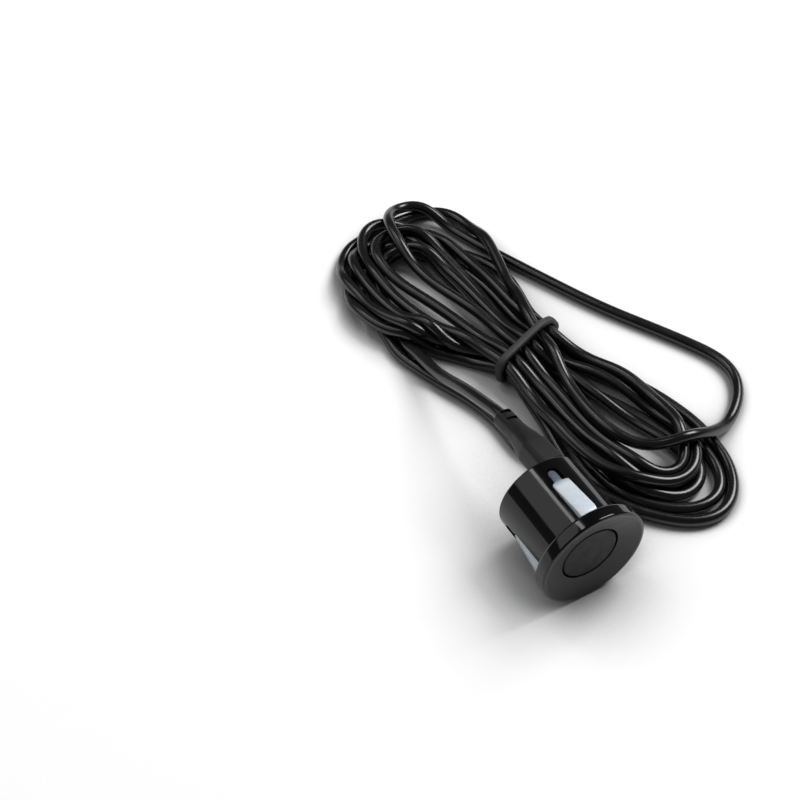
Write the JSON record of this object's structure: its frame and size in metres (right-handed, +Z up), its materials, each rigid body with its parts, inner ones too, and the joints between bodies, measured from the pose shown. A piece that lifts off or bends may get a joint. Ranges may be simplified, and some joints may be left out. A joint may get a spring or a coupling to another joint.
{
  "type": "ultrasonic distance sensor",
  "caption": "Press-in ultrasonic distance sensor head with a dished flange, wedge pads in its barrel, a moulded cable boot and a long thin cable hanked and tied, with a small two-way plug.",
  "frame": {"origin": "on the floor, under the middle of the head's box; the cable, its tie and its plug aren't counted", "axes": "+Y backwards along the barrel, from the sensing face to the cable boot; +Z up, with the head lying on its side; +X to the right, seen from the front"},
  "size_m": [0.0797, 0.1265, 0.026],
  "materials": {
    "shell_plastic": "semi-gloss moulded",
    "clear_rubber": "translucent bluish white, satin",
    "painted_face": "matte charcoal paint",
    "ceramic": "fired ceramic",
    "felt": "felt",
    "black_plastic": "satin",
    "plug_plastic": "satin",
    "tinned_metal": "tinned",
    "black_rubber": "matte",
    "red_wire": "satin",
    "white_wire": "satin",
    "boot_vinyl": "fine matte grain",
    "cable_vinyl": "semi-gloss",
    "tie_rubber": "matte dark grey"
  },
  "bodies": {
    "root": {"outer_shell": "shell_plastic", "retaining_sleeve": "clear_rubber", "transducer_cup": "painted_face", "piezo_disc": "ceramic", "damping_felt": "felt", "terminal_carrier": "black_plastic", "terminal_pin_left": "tinned_metal", "terminal_pin_right": "tinned_metal", "isolator_ring": "black_rubber", "lead_wire_left": "red_wire", "lead_wire_right": "white_wire", "rear_cap": "black_plastic", "cable_boot": "boot_vinyl", "plug_housing": "plug_plastic", "plug_seal": "black_rubber", "plug_contact_left": "tinned_metal", "plug_contact_right": "tinned_metal", "cable_hank": "cable_vinyl", "cable_head_end": "cable_vinyl", "cable_plug_end": "cable_vinyl", "cable_loose_loop": "cable_vinyl", "hank_tie": "tie_rubber"}
  },
  "joints": []
}
